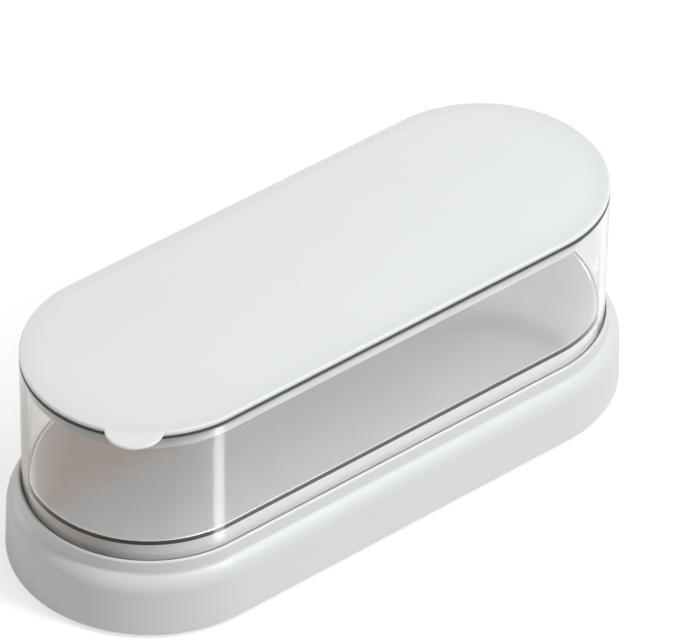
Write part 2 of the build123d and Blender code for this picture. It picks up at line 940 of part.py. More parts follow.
# Leads from the battery to the board
lead_end_x = battery_plug_left - lead_run
red_y = battery_header_y + pin_pitch / 2
black_y = battery_header_y - pin_pitch / 2
lead(
    [
        (red_lead_x, cell_spread, cell_height),
        (red_lead_x + lead_run, cell_spread, cell_height),
        (lead_end_x, red_y, battery_lead_height),
        (battery_plug_left, red_y, battery_lead_height),
    ],
    "battery_lead_red",
)
lead(
    [
        (black_lead_x, 0, earth_lead_height),
        (tray_right, 0, earth_lead_height),
        (lead_end_x, black_y, battery_lead_height),
        (battery_plug_left, black_y, battery_lead_height),
    ],
    "battery_lead_black",
)

# Step-up transformer: a window core with a wound bobbin on its middle leg
window_height = core_height - 2 * core_yoke
window_low = board_top + core_yoke
bobbin_low = window_low + slip
bobbin_high = window_low + window_height - slip
window_width = (core_length - 3 * core_leg) / 2
with BuildPart() as transformer_core:
    with BuildSketch(Plane.XZ.offset(-transformer_y - core_width / 2)):
        with Locations((transformer_x, board_top + core_height / 2)):
            Rectangle(core_length, core_height)
        window_offset = (core_leg + window_width) / 2
        for side in (-1, 1):
            with Locations((transformer_x + side * window_offset, board_top + core_height / 2)):
                Rectangle(window_width, window_height, mode=Mode.SUBTRACT)
    extrude(amount=core_width)
save(transformer_core, "transformer_core")

sleeve_x = core_leg + 2 * (slip + bobbin_wall)
sleeve_y = core_width + 2 * (slip + bobbin_wall)
flange_x = core_leg + 2 * (window_width - slip)
flange_y = sleeve_y + 2 * winding_thickness
coil_x_size = flange_x - 2 * slip
coil_y_size = flange_y - 2 * bobbin_wall
with BuildPart() as transformer_bobbin:
    with Locations((transformer_x, transformer_y, bobbin_low)):
        lowest = (Align.CENTER, Align.CENTER, Align.MIN)
        Box(sleeve_x, sleeve_y, bobbin_high - bobbin_low, align=lowest)
        Box(flange_x, flange_y, bobbin_wall, align=lowest)
    with Locations((transformer_x, transformer_y, bobbin_high)):
        Box(flange_x, flange_y, bobbin_wall, align=(Align.CENTER, Align.CENTER, Align.MAX))
    with Locations((transformer_x, transformer_y, bobbin_low)):
        Box(
            core_leg + 2 * slip,
            core_width + 2 * slip,
            bobbin_high - bobbin_low,
            align=lowest,
            mode=Mode.SUBTRACT,
        )
save(transformer_bobbin, "transformer_bobbin")

with BuildPart() as transformer_winding:
    with BuildSketch(Plane.XY.offset(bobbin_low + bobbin_wall)):
        with Locations((transformer_x, transformer_y)):
            RectangleRounded(coil_x_size, coil_y_size, bobbin_wall)
            Rectangle(sleeve_x + slip, sleeve_y + slip, mode=Mode.SUBTRACT)
    extrude(amount=bobbin_high - bobbin_low - 2 * bobbin_wall)
save(transformer_winding, "transformer_winding")

# Two upright capacitors
for number, x in enumerate(capacitor_places, start=1):
    with BuildPart() as capacitor:
        rod(x, capacitor_y, board_top, board_top + capacitor_height, capacitor_radius)
        fillet(capacitor.edges().filter_by(GeomType.CIRCLE), capacitor_edge_radius)
    save(capacitor, f"capacitor_{number}")

# Charging coil: a ferrite drum with a copper winding in its neck
neck_low = board_top + coil_flange
neck_high = board_top + coil_height - coil_flange
with BuildPart() as coil_core:
    rod(coil_x, coil_y, board_top, neck_low, coil_radius)
    rod(coil_x, coil_y, neck_low, neck_high, coil_neck_radius)
    rod(coil_x, coil_y, neck_high, neck_high + coil_flange, coil_radius)
save(coil_core, "coil_core")

with BuildPart() as coil_winding:
    rod(coil_x, coil_y, neck_low, neck_high, coil_radius - easy)
    rod(coil_x, coil_y, neck_low, neck_high, coil_neck_radius + thread_gap, Mode.SUBTRACT)
save(coil_winding, "coil_winding")

# Heat sink with two power transistors on its flat side
sink_left = sink_x - sink_length / 2
sink_front = sink_y - sink_depth / 2
with BuildPart() as heat_sink:
    box_between(
        (sink_left, sink_front, board_top),
        (sink_left + sink_length, sink_front + sink_plate, board_top + sink_height),
    )
    fin_pitch = (sink_length - sink_fin_thickness) / (sink_fins - 1)
    for fin in range(sink_fins):
        fin_left = sink_left + fin * fin_pitch
        box_between(
            (fin_left, sink_front + sink_plate, board_top),
            (fin_left + sink_fin_thickness, sink_front + sink_depth, board_top + sink_height),
        )
save(heat_sink, "heat_sink")

transistor_low = board_top + transistor_lift
transistor_places = (sink_x - transistor_spread / 2, sink_x + transistor_spread / 2)
for number, x in enumerate(transistor_places, start=1):
    with BuildPart() as transistor:
        box_between(
            (x - transistor_width / 2, sink_front - transistor_depth, transistor_low),
            (x + transistor_width / 2, sink_front, transistor_low + transistor_height),
        )
    save(transistor, f"transistor_{number}")

with BuildPart() as transistor_legs:
    leg_y = sink_front - transistor_depth / 2
    for x in transistor_places:
        for leg in (-1, 0, 1):
            leg_x = x + leg * leg_pitch
            box_between(
                (leg_x - leg_width / 2, leg_y - leg_thickness / 2, board_top),
                (leg_x + leg_width / 2, leg_y + leg_thickness / 2, transistor_low),
            )
save(transistor_legs, "transistor_legs")

# Control chip and its two rows of legs
chip_low = board_top + chip_lift
with BuildPart() as control_chip:
    box_between(
        (chip_x - chip_length / 2, chip_y - chip_width / 2, chip_low),
        (chip_x + chip_length / 2, chip_y + chip_width / 2, chip_low + chip_height),
    )
save(control_chip, "control_chip")

with BuildPart() as chip_leads:
    for row in (-1, 1):
        inner_y = chip_y + row * chip_width / 2
        outer_y = inner_y + row * chip_leg_reach
        for leg in range(chip_legs):
            leg_x = chip_x + (leg - (chip_legs - 1) / 2) * chip_leg_pitch
            box_between(
                (leg_x - chip_leg_width / 2, min(inner_y, outer_y), board_top),
                (leg_x + chip_leg_width / 2, max(inner_y, outer_y), board_top + chip_leg_height),
            )
save(chip_leads, "chip_leads")
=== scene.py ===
"""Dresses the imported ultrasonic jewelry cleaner, and sets its stage and camera."""

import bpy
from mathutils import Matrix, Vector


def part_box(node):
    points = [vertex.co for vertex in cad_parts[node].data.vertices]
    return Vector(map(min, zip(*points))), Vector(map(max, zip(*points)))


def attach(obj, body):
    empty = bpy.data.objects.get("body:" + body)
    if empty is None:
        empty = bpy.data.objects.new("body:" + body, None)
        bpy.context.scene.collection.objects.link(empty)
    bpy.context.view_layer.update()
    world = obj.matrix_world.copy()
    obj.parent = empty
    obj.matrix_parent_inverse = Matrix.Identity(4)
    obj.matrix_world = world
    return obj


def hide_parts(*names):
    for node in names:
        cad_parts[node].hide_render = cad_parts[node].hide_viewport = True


bl_info = {
    "name": "Ultrasonic Jewelry Cleaner",
    "version": (1, 0, 0),
    "blender": (4, 5, 0),
    "location": "View3D > Sidebar > Cleaner",
    "description": "Finishes, clear wall, seals and tank floor of a long ultrasonic cleaner",
    "category": "Object",
}

import math

import bmesh
import bpy
from mathutils import Matrix, Vector

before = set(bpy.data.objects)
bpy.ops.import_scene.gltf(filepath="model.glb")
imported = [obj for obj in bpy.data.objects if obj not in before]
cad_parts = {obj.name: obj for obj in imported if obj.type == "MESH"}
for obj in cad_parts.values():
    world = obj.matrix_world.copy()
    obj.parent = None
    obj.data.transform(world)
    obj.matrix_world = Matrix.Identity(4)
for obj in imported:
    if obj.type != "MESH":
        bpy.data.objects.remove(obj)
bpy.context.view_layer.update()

# Modelling, in metres and radians
MERGE_DISTANCE = 1e-6
BEAD_CLEARANCE = 1e-6
SHARP_ANGLE = math.radians(40)
EDGE_SEGMENTS = 5
BEND_SEGMENTS = 8
# The tank floor is flat up to this many bend radii from its rim
FLAT_INSET_IN_BENDS = 3
# The rim's two edges are rounded by its thickness over this number
RIM_EDGE_DIVISOR = 3

# Finishes
MOULDED_GLOSS_DRIFT = 0.04
BRUSHED_GLOSS_DRIFT = 0.05
CLEAR_GLOSS_DRIFT = 0.02
ACRYLIC_IOR = 1.49
RIM_ROUGHNESS = 0.6
DULL_SPECULAR = 0.15
FINE_GRAIN = 0.000004
RING_COLOUR = (0.99, 0.965, 0.95)
# Dark grey of the bead at the wall's foot: painted shade for the groove there
GROOVE_SHADE_COLOUR = (0.1, 0.095, 0.09)

# The Light Path node counts in whole numbers, so a half tells none from one or more
HALF_BOUNCE = 0.5

# Floor: (metres from the middle, strength) of its white, near and far, and its paints
FLOOR_HALF_SIZE = 6.0
FLOOR_DROP = 1e-4
FLOOR_NEAR = (0.3, 0.66)
FLOOR_FAR = (1.2, 1.0)
FLOOR_SHADE = (0.45, 0.45, 0.45, 1.0)
FLOOR_PLAIN = (0.8, 0.8, 0.8, 1.0)
FLOOR_POLISH = (0.17, 0.17, 0.17, 1.0)
FLOOR_POLISH_ROUGHNESS = 0.1

# Painted reflection: what mirrored rays see, as (metres along X or Y, colour) stops painted as
# glow on the floor and on the card
PAINTED_REFLECTION_ENDS = ((-0.10, (0.28, 0.24, 0.21)), (-0.04, (0.9, 0.9, 0.9)))
PAINTED_REFLECTION_BEHIND = ((-0.01, (0.0, 0.0, 0.0)), (0.05, (0.46, 0.45, 0.435)))
# Colour stops of the glowing card, a painted reflection
CARD_REFLECTION_STOPS = ((0.19, (0.36, 0.30, 0.265)), (0.24, (0.58, 0.565, 0.555)))
CARD_CENTRE = (0.2, 0.25, 0.34)
CARD_HALF_WIDTH = 0.3
CARD_HALF_HEIGHT = 0.2

# Lamps and camera
LAMP_DISTANCE = 1.3
KEY_SIZE = (0.2, 1.1)
FILL_SIZE = (0.6, 0.6)
SENSOR_WIDTH = 36.0
CLIP_END = 20.0

WHITE = (1.0, 1.0, 1.0, 1.0)


class CleanerSizes(bpy.types.PropertyGroup):
    """Sizes of the pieces that are modelled here, beyond what model.glb gives."""

    wall_thickness: bpy.props.FloatProperty(
        name="Wall Thickness",
        description="Thickness of the clear wall",
        default=0.0018,
        subtype="DISTANCE",
        unit="LENGTH",
        precision=5,
    )
    wall_edge_radius: bpy.props.FloatProperty(
        name="Wall Edge Radius",
        description="Rounding of the clear wall's upper and lower edges",
        default=0.0003,
        subtype="DISTANCE",
        unit="LENGTH",
        precision=5,
    )
    lid_seal_inset: bpy.props.FloatProperty(
        name="Lid Seal Inset",
        description="How far the lid's seal reaches inside the clear wall",
        default=0.00025,
        subtype="DISTANCE",
        unit="LENGTH",
        precision=5,
    )
    seal_edge_radius: bpy.props.FloatProperty(
        name="Seal Edge Radius",
        description="Rounding of both dark seals",
        default=0.0002,
        subtype="DISTANCE",
        unit="LENGTH",
        precision=5,
    )
    pan_thickness: bpy.props.FloatProperty(
        name="Pan Thickness",
        description="Thickness of the steel tank floor",
        default=0.0006,
        subtype="DISTANCE",
        unit="LENGTH",
        precision=5,
    )
    pan_bend_radius: bpy.props.FloatProperty(
        name="Pan Bend Radius",
        description="Outer radius of the bend where the tank floor turns up",
        default=0.0009,
        subtype="DISTANCE",
        unit="LENGTH",
        precision=5,
    )
    # The bead is a dark fill at the wall's foot that paints the groove's shade
    bead_width: bpy.props.FloatProperty(
        name="Bead Width",
        description="Width of the dark bead round the wall's foot",
        default=0.00023,
        subtype="DISTANCE",
        unit="LENGTH",
        precision=5,
    )
    bead_lip: bpy.props.FloatProperty(
        name="Bead Lip",
        description="How far the bead's top spreads over the rounded neck",
        default=0.00012,
        subtype="DISTANCE",
        unit="LENGTH",
        precision=5,
    )
    bead_lip_depth: bpy.props.FloatProperty(
        name="Bead Lip Depth",
        description="How far the bead's spread top slopes down to its width",
        default=0.0001,
        subtype="DISTANCE",
        unit="LENGTH",
        precision=5,
    )
    bead_depth: bpy.props.FloatProperty(
        name="Bead Depth",
        description="Depth of the dark bead",
        default=0.0005,
        subtype="DISTANCE",
        unit="LENGTH",
        precision=5,
    )
    bead_recess: bpy.props.FloatProperty(
        name="Bead Recess",
        description="How far the bead stays below the neck's top",
        default=0.0001,
        subtype="DISTANCE",
        unit="LENGTH",
        precision=5,
    )
    round_steps: bpy.props.IntProperty(
        name="Round Steps",
        description="Facets in each half round end of a modelled piece",
        default=96,
        min=12,
        max=256,
    )


class CleanerColours(bpy.types.PropertyGroup):
    """Colours of the pieces that show."""

    lid: bpy.props.FloatVectorProperty(
        name="Lid",
        description="Colour of the lid's plastic",
        default=(0.88, 0.9, 0.91),
        subtype="COLOR",
        size=3,
        min=0,
        max=1,
    )
    base: bpy.props.FloatVectorProperty(
        name="Base",
        description="Colour of the base's plastic",
        default=(0.76, 0.765, 0.76),
        subtype="COLOR",
        size=3,
        min=0,
        max=1,
    )
    collar: bpy.props.FloatVectorProperty(
        name="Collar",
        description="Colour of the collar under the tank floor",
        default=(0.80, 0.785, 0.775),
        subtype="COLOR",
        size=3,
        min=0,
        max=1,
    )
    lid_seal: bpy.props.FloatVectorProperty(
        name="Lid Seal",
        description="Colour of the seal under the lid",
        default=(0.06, 0.06, 0.06),
        subtype="COLOR",
        size=3,
        min=0,
        max=1,
    )
    tank_seal: bpy.props.FloatVectorProperty(
        name="Tank Seal",
        description="Colour of the seal round the tank floor",
        default=(0.012, 0.012, 0.012),
        subtype="COLOR",
        size=3,
        min=0,
        max=1,
    )
    steel: bpy.props.FloatVectorProperty(
        name="Tank Floor",
        description="Colour of the steel tank floor",
        default=(0.92, 0.915, 0.91),
        subtype="COLOR",
        size=3,
        min=0,
        max=1,
    )
    clear: bpy.props.FloatVectorProperty(
        name="Clear Wall",
        description="Tint of the clear wall",
        default=(0.97, 0.965, 0.96),
        subtype="COLOR",
        size=3,
        min=0,
        max=1,
    )


class CleanerStage(bpy.types.PropertyGroup):
    """Camera, lamps and background."""

    camera_turn: bpy.props.FloatProperty(
        name="Camera Turn",
        description="Turn of the camera about the upright axis from the long side",
        default=math.radians(-39.669),
        subtype="ANGLE",
        unit="ROTATION",
    )
    camera_tilt: bpy.props.FloatProperty(
        name="Camera Tilt",
        description="Height of the camera above the horizon",
        default=math.radians(39.559),
        subtype="ANGLE",
        unit="ROTATION",
    )
    camera_roll: bpy.props.FloatProperty(
        name="Camera Roll",
        description="Roll of the camera about its own line of sight",
        default=math.radians(0.8405),
        subtype="ANGLE",
        unit="ROTATION",
    )
    camera_distance: bpy.props.FloatProperty(
        name="Camera Distance",
        description="Distance from the camera to what it looks at",
        default=1.98287,
        subtype="DISTANCE",
        unit="LENGTH",
    )
    camera_aim: bpy.props.FloatVectorProperty(
        name="Camera Aim",
        description="Point in the middle of the object before the camera is panned",
        default=(0.0, 0.0, 0.069),
        subtype="TRANSLATION",
        size=3,
    )
    camera_pan: bpy.props.FloatVectorProperty(
        name="Camera Pan",
        description="How far the camera is moved to its right and up",
        default=(0.005849, -0.014334),
        subtype="TRANSLATION",
        size=2,
    )
    lens: bpy.props.FloatProperty(
        name="Lens",
        description="Focal length on a sensor 36 mm wide",
        default=374.0,
        subtype="DISTANCE_CAMERA",
    )
    key_turn: bpy.props.FloatProperty(
        name="Key Lamp Turn",
        description="Direction of the key lamp about the upright axis, from +X",
        default=math.radians(-66.5),
        subtype="ANGLE",
        unit="ROTATION",
    )
    key_height: bpy.props.FloatProperty(
        name="Key Lamp Height",
        description="Height of the key lamp above the horizon",
        default=math.radians(56.5),
        subtype="ANGLE",
        unit="ROTATION",
    )
    key_power: bpy.props.FloatProperty(
        name="Key Lamp Power",
        description="Power of the key lamp",
        default=12.0,
        subtype="POWER",
        unit="POWER",
    )
    fill_turn: bpy.props.FloatProperty(
        name="Fill Lamp Turn",
        description="Direction of the fill lamp about the upright axis, from +X",
        default=math.radians(112),
        subtype="ANGLE",
        unit="ROTATION",
    )
    fill_height: bpy.props.FloatProperty(
        name="Fill Lamp Height",
        description="Height of the fill lamp above the horizon",
        default=math.radians(20),
        subtype="ANGLE",
        unit="ROTATION",
    )
    fill_power: bpy.props.FloatProperty(
        name="Fill Lamp Power",
        description="Power of the fill lamp",
        default=2.6,
        subtype="POWER",
        unit="POWER",
    )
    sky_level: bpy.props.FloatProperty(
        name="Sky Level",
        description="Strength of the even light from all round",
        default=0.33,
    )
    key_colour: bpy.props.FloatVectorProperty(
        name="Key Lamp Colour",
        description="Colour of the key lamp",
        default=(0.93, 0.975, 1.0),
        subtype="COLOR",
        size=3,
        min=0,
        max=1,
    )
    sky_colour: bpy.props.FloatVectorProperty(
        name="Sky Colour",
        description="Colour of the even light from all round",
        default=(1.0, 0.955, 0.925),
        subtype="COLOR",
        size=3,
        min=0,
        max=1,
    )


def add_node(tree, kind, inputs=None, **settings):
    """Adds a shader node, with each input set to a value or linked from a socket."""
    made = tree.nodes.new("ShaderNode" + kind)
    for name, value in settings.items():
        setattr(made, name, value)
    for name, value in (inputs or {}).items():
        if isinstance(value, bpy.types.NodeSocket):
            tree.links.new(value, made.inputs[name])
        else:
            made.inputs[name].default_value = value
    return made


def calculate(tree, operation, first, second):
    """The outcome of a math operation on two values."""
    return add_node(tree, "Math", {0: first, 1: second}, operation=operation).outputs["Value"]


def mix_shaders(tree, share, first, second):
    """Shows the second shader by a share, and the first one for the rest."""
    return add_node(tree, "MixShader", {"Fac": share, 1: first, 2: second}).outputs["Shader"]


def add_shaders(tree, first, second):
    """Lays one shader's light over the other's."""
    return add_node(tree, "AddShader", {0: first, 1: second}).outputs["Shader"]


def noise(tree, place, scale, detail):
    """A cloudy texture from 0 to 1."""
    cloud = add_node(tree, "TexNoise", {"Vector": place, "Scale": scale, "Detail": detail})
    return cloud.outputs["Fac"]


def emboss(tree, shader, height, strength, depth):
    """Raises a surface where a texture is bright."""
    bump = add_node(tree, "Bump", {"Height": height, "Strength": strength, "Distance": depth})
    tree.links.new(bump.outputs["Normal"], shader.inputs["Normal"])


def new_finish(name):
    """A material with a Principled shader, and its Object coordinates."""
    finish = bpy.data.materials.new(name)
    finish.use_nodes = True
    tree = finish.node_tree
    shader = tree.nodes["Principled BSDF"]
    place = add_node(tree, "TexCoord").outputs["Object"]
    return finish, tree, shader, place


def mottle(tree, place, colour, spread, scale):
    """A colour that drifts a little lighter and darker over the surface."""
    cloud = noise(tree, place, scale, detail=3.0)
    dark = [channel * (1 - spread) for channel in colour] + [1.0]
    light = [min(1.0, channel * (1 + spread)) for channel in colour] + [1.0]
    mixed = add_node(
        tree,
        "Mix",
        {"Factor": cloud, "A": dark, "B": light},
        data_type="RGBA",
    )
    return mixed.outputs["Result"]


def between(tree, value, low, high):
    """Maps a texture's 0 to 1 onto a range."""
    mapped = add_node(tree, "MapRange", {"Value": value, "To Min": low, "To Max": high})
    return mapped.outputs["Result"]


def moulded(name, colour, roughness, grain_scale=2500.0, grain_depth=0.00001, spread=0.015):
    """Moulded plastic: a fine even grain, with slight drifts of shade and gloss."""
    finish, tree, shader, place = new_finish(name)
    drift = noise(tree, place, scale=60.0, detail=2.0)
    grain = noise(tree, place, scale=grain_scale, detail=2.0)
    emboss(tree, shader, grain, strength=0.6, depth=grain_depth)
    tree.links.new(mottle(tree, place, colour, spread, scale=45.0), shader.inputs["Base Color"])
    least, most = roughness - MOULDED_GLOSS_DRIFT, roughness + MOULDED_GLOSS_DRIFT
    tree.links.new(between(tree, drift, least, most), shader.inputs["Roughness"])
    return finish


def brushed(
    name,
    colour,
    roughness,
    stretch=(12.0, 900.0, 900.0),
    depth=0.000002,
    spread=0.03,
    metallic=1.0,
):
    """Satin metal with fine scratches along one direction."""
    finish, tree, shader, place = new_finish(name)
    stretched = add_node(tree, "Mapping", {"Vector": place, "Scale": stretch})
    lines = noise(tree, stretched.outputs["Vector"], scale=3.0, detail=4.0)
    emboss(tree, shader, lines, strength=0.5, depth=depth)
    shader.inputs["Metallic"].default_value = metallic
    tree.links.new(mottle(tree, place, colour, spread, scale=70.0), shader.inputs["Base Color"])
    least, most = roughness - BRUSHED_GLOSS_DRIFT, roughness + BRUSHED_GLOSS_DRIFT
    tree.links.new(between(tree, lines, least, most), shader.inputs["Roughness"])
    return finish


def clear_moulding(name, colour, roughness, satin_above=None):
    """Clear plastic that lets lamps through, rippled and smudged, with a satin upper rim."""
    finish, tree, shader, place = new_finish(name)
    ripple = noise(tree, place, scale=25.0, detail=1.0)
    smudge = noise(tree, place, scale=90.0, detail=4.0)
    emboss(tree, shader, ripple, strength=0.15, depth=0.0001)
    shader.inputs["Transmission Weight"].default_value = 1.0
    shader.inputs["IOR"].default_value = ACRYLIC_IOR
    tint = mottle(tree, place, colour, spread=0.005, scale=20.0)
    tree.links.new(tint, shader.inputs["Base Color"])
    gloss = between(tree, smudge, roughness, roughness + CLEAR_GLOSS_DRIFT)
    if satin_above is not None:
        height = add_node(tree, "SeparateXYZ", {"Vector": place}).outputs["Z"]
        rim = calculate(tree, "GREATER_THAN", height, satin_above)
        gloss = calculate(tree, "MAXIMUM", gloss, between(tree, rim, 0.0, RIM_ROUGHNESS))
    tree.links.new(gloss, shader.inputs["Roughness"])
    lets_light = add_node(tree, "BsdfTransparent", {"Color": (*colour, 1.0)}).outputs["BSDF"]
    shadow = add_node(tree, "LightPath").outputs["Is Shadow Ray"]
    whole = mix_shaders(tree, shadow, shader.outputs["BSDF"], lets_light)
    tree.links.new(whole, tree.nodes["Material Output"].inputs["Surface"])
    return finish


def glow_through(finish, weight, reach):
    """Lets a finish pass light through thin walls, as thin white plastic does."""
    shader = finish.node_tree.nodes["Principled BSDF"]
    shader.inputs["Subsurface Weight"].default_value = weight
    shader.inputs["Subsurface Radius"].default_value = (1.0, 1.0, 1.0)
    shader.inputs["Subsurface Scale"].default_value = reach


def tank_plan():
    """Half the distance between the ends' centres, and the wall's outer radius."""
    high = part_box("tank_wall")[1]
    return high.x - high.y, high.y


def draw_section(bm, corners, closed, segments=EDGE_SEGMENTS):
    """Joins (radius, height, rounding) corners by edges at a side's end, and rounds them."""
    half_span = tank_plan()[0]
    points = [bm.verts.new((half_span, -radius, height)) for radius, height, _ in corners]
    pairs = list(zip(points, points[1:]))
    if closed:
        pairs.append((points[-1], points[0]))
    for pair in pairs:
        bm.edges.new(pair)
    for point, (_, _, rounding) in zip(points, corners):
        if rounding > 0:
            bmesh.ops.bevel(
                bm,
                geom=[point],
                offset=rounding,
                offset_type="OFFSET",
                affect="VERTICES",
                segments=segments,
                profile=0.5,
                material=-1,
            )
    return bm.edges[:]


def round_end(bm, edges, centre_x, steps):
    """Carries edges through a half turn about an end's centre, and returns the last ones."""
    # A dict keeps its order, where a set would number the new points differently each run
    points = list(dict.fromkeys(point for edge in edges for point in edge.verts))
    turned = bmesh.ops.spin(
        bm,
        geom=points + edges,
        cent=(centre_x, 0, 0),
        axis=(0, 0, 1),
        angle=math.pi,
        steps=steps,
        use_merge=False,
    )
    return [item for item in turned["geom_last"] if isinstance(item, bmesh.types.BMEdge)]


def long_side(bm, edges, distance):
    """Carries edges straight along a side, and returns the last ones."""
    grown = bmesh.ops.extrude_edge_only(bm, edges=edges)["geom"]
    points = [item for item in grown if isinstance(item, bmesh.types.BMVert)]
    bmesh.ops.translate(bm, verts=points, vec=(distance, 0, 0))
    return [
        item
        for item in grown
        if isinstance(item, bmesh.types.BMEdge) and set(item.verts) <= set(points)
    ]


def carry_round(bm, section, steps):
    """Carries a section once round the tank, and joins the seam."""
    half_span = tank_plan()[0]
    edges = round_end(bm, section, half_span, steps)
    edges = long_side(bm, edges, -2 * half_span)
    edges = round_end(bm, edges, -half_span, steps)
    long_side(bm, edges, 2 * half_span)
    bmesh.ops.remove_doubles(bm, verts=bm.verts, dist=MERGE_DISTANCE)


def close_openings(bm):
    """Fills each open loop with one flat face."""
    open_edges = [edge for edge in bm.edges if edge.is_boundary]
    bmesh.ops.holes_fill(bm, edges=open_edges, sides=0)


def settle_order(bm):
    """Orders edges and faces by their points, since a spin leaves them differently each run."""
    bm.verts.index_update()
    for items in (bm.edges, bm.faces):
        ranked = sorted(items, key=lambda item: sorted(point.index for point in item.verts))
        places = {item: place for place, item in enumerate(ranked)}
        items.sort(key=places.get)


def new_piece(bm, name, body, slot, finish, *nodes):
    """Turns a finished bmesh into a piece that rides on a body, and may stand for CAD nodes."""
    bmesh.ops.recalc_face_normals(bm, faces=bm.faces)
    settle_order(bm)
    mesh = bpy.data.meshes.new(name)
    bm.to_mesh(mesh)
    bm.free()
    mesh.shade_smooth()
    mesh.set_sharp_from_angle(angle=SHARP_ANGLE)
    mesh.materials.append(finish)
    piece = bpy.data.objects.new(name, mesh)
    bpy.context.scene.collection.objects.link(piece)
    facing = piece.modifiers.new("Face normals", "WEIGHTED_NORMAL")
    facing.keep_sharp = True
    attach(piece, body)
    if nodes:
        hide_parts(*nodes)
    return piece


def finish_nodes(finish, *names):
    """Gives CAD nodes a finish in all their material slots."""
    for name in names:
        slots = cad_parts[name].material_slots
        if not slots:
            raise RuntimeError(f"node {name} has no material slot")
        for material_slot in slots:
            material_slot.material = finish


class CLEANER_OT_lid(bpy.types.Operator):
    """Finish the flat white lid with its tab, and the milky ring under it"""

    bl_idname = "cleaner.lid"
    bl_label = "Lid"

    def execute(self, context):
        colours = context.scene.cleaner_colours
        lid = moulded("Satin lid plastic", colours.lid, 0.34)
        glow_through(lid, 0.7, 0.002)
        finish_nodes(lid, "lid")
        ring = moulded("Milky ring plastic", RING_COLOUR, 0.4)
        glow_through(ring, 0.6, 0.0015)
        finish_nodes(ring, "lid_ring")
        return {"FINISHED"}


class CLEANER_OT_seals(bpy.types.Operator):
    """Model the dark seals at the wall's top and foot"""

    bl_idname = "cleaner.seals"
    bl_label = "Seals"

    def execute(self, context):
        sizes = context.scene.cleaner_sizes
        colours = context.scene.cleaner_colours
        wall_radius = tank_plan()[1]
        inner_radius = wall_radius - sizes.wall_thickness
        low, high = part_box("lid_seal")
        edge = sizes.seal_edge_radius
        bm = bmesh.new()
        section = draw_section(
            bm,
            [
                (wall_radius, low.z, edge),
                (wall_radius, high.z, edge),
                (inner_radius - sizes.lid_seal_inset, high.z, 0),
                (inner_radius - sizes.lid_seal_inset, low.z, edge),
            ],
            closed=True,
        )
        carry_round(bm, section, sizes.round_steps)
        finish = moulded("Grey seal rubber", colours.lid_seal, 0.55, grain_depth=FINE_GRAIN)
        new_piece(bm, "lid_seal_ring", "lid", "seal_rubber", finish, "lid_seal")
        low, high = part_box("tank_seal")
        pan_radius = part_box("tank_pan")[1].y
        gap = inner_radius - high.y
        bm = bmesh.new()
        section = draw_section(
            bm,
            [
                (high.y, low.z, 0),
                (high.y, high.z, edge),
                (pan_radius + gap, high.z, 0),
                (pan_radius + gap, low.z, 0),
            ],
            closed=True,
        )
        carry_round(bm, section, sizes.round_steps)
        finish = moulded("Black seal rubber", colours.tank_seal, 0.7, grain_depth=FINE_GRAIN)
        shader = finish.node_tree.nodes["Principled BSDF"]
        shader.inputs["Specular IOR Level"].default_value = DULL_SPECULAR
        new_piece(bm, "tank_seal_bead", "base", "seal_rubber", finish, "tank_seal")
        self.add_groove_shade_bead(sizes, wall_radius)
        return {"FINISHED"}

    def add_groove_shade_bead(self, sizes, wall_radius):
        """Fill the narrow gap between the clear wall's foot and the base's neck with a dark
        bead, whose darkness paints the groove's shade.
        """
        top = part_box("base_shell")[1].z - sizes.bead_recess
        foot = top - sizes.bead_depth
        inner = wall_radius + BEAD_CLEARANCE
        outer = wall_radius + sizes.bead_width
        bm = bmesh.new()
        section = draw_section(
            bm,
            [
                (inner, foot, 0),
                (inner, top, 0),
                (outer + sizes.bead_lip, top, 0),
                (outer, top - sizes.bead_lip_depth, 0),
                (outer, foot, 0),
            ],
            closed=True,
        )
        carry_round(bm, section, sizes.round_steps)
        # The bead's dark grey is painted shade in the groove at the wall's foot
        finish = moulded("Painted groove shade", GROOVE_SHADE_COLOUR, 0.5, grain_depth=FINE_GRAIN)
        new_piece(bm, "wall_foot_shade_bead", "base", "seal_rubber", finish)


class CLEANER_OT_wall(bpy.types.Operator):
    """Model the clear wall with its rounded edges"""

    bl_idname = "cleaner.wall"
    bl_label = "Clear Wall"

    def execute(self, context):
        sizes = context.scene.cleaner_sizes
        low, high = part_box("tank_wall")
        inner_radius = high.y - sizes.wall_thickness
        edge = sizes.wall_edge_radius
        bm = bmesh.new()
        section = draw_section(
            bm,
            [
                (high.y, low.z, edge),
                (high.y, high.z, edge),
                (inner_radius, high.z, edge),
                (inner_radius, low.z, edge),
            ],
            closed=True,
        )
        carry_round(bm, section, sizes.round_steps)
        colour = context.scene.cleaner_colours.clear
        finish = clear_moulding("Clear wall plastic", colour, 0.0, high.z - edge / 2)
        new_piece(bm, "clear_wall", "base", "clear_plastic", finish, "tank_wall")
        return {"FINISHED"}


class CLEANER_OT_tank_floor(bpy.types.Operator):
    """Model the steel tank floor with its turned up rim, and finish the collar under it"""

    bl_idname = "cleaner.tank_floor"
    bl_label = "Tank Floor"

    def execute(self, context):
        sizes = context.scene.cleaner_sizes
        colours = context.scene.cleaner_colours
        low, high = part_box("tank_pan")
        thickness = sizes.pan_thickness
        bend = sizes.pan_bend_radius
        flat_radius = high.y - FLAT_INSET_IN_BENDS * bend
        edge = thickness / RIM_EDGE_DIVISOR
        bm = bmesh.new()
        section = draw_section(
            bm,
            [
                (flat_radius, low.z + thickness, 0),
                (high.y - thickness, low.z + thickness, bend - thickness),
                (high.y - thickness, high.z, edge),
                (high.y, high.z, edge),
                (high.y, low.z, bend),
                (flat_radius, low.z, 0),
            ],
            closed=False,
            segments=BEND_SEGMENTS,
        )
        carry_round(bm, section, sizes.round_steps)
        close_openings(bm)
        steel = brushed("Satin tank steel", colours.steel, 0.16, metallic=0.88)
        new_piece(bm, "steel_floor", "base", "pan_steel", steel, "tank_pan")
        finish_nodes(moulded("Satin collar plastic", colours.collar, 0.4), "tank_collar")
        return {"FINISHED"}


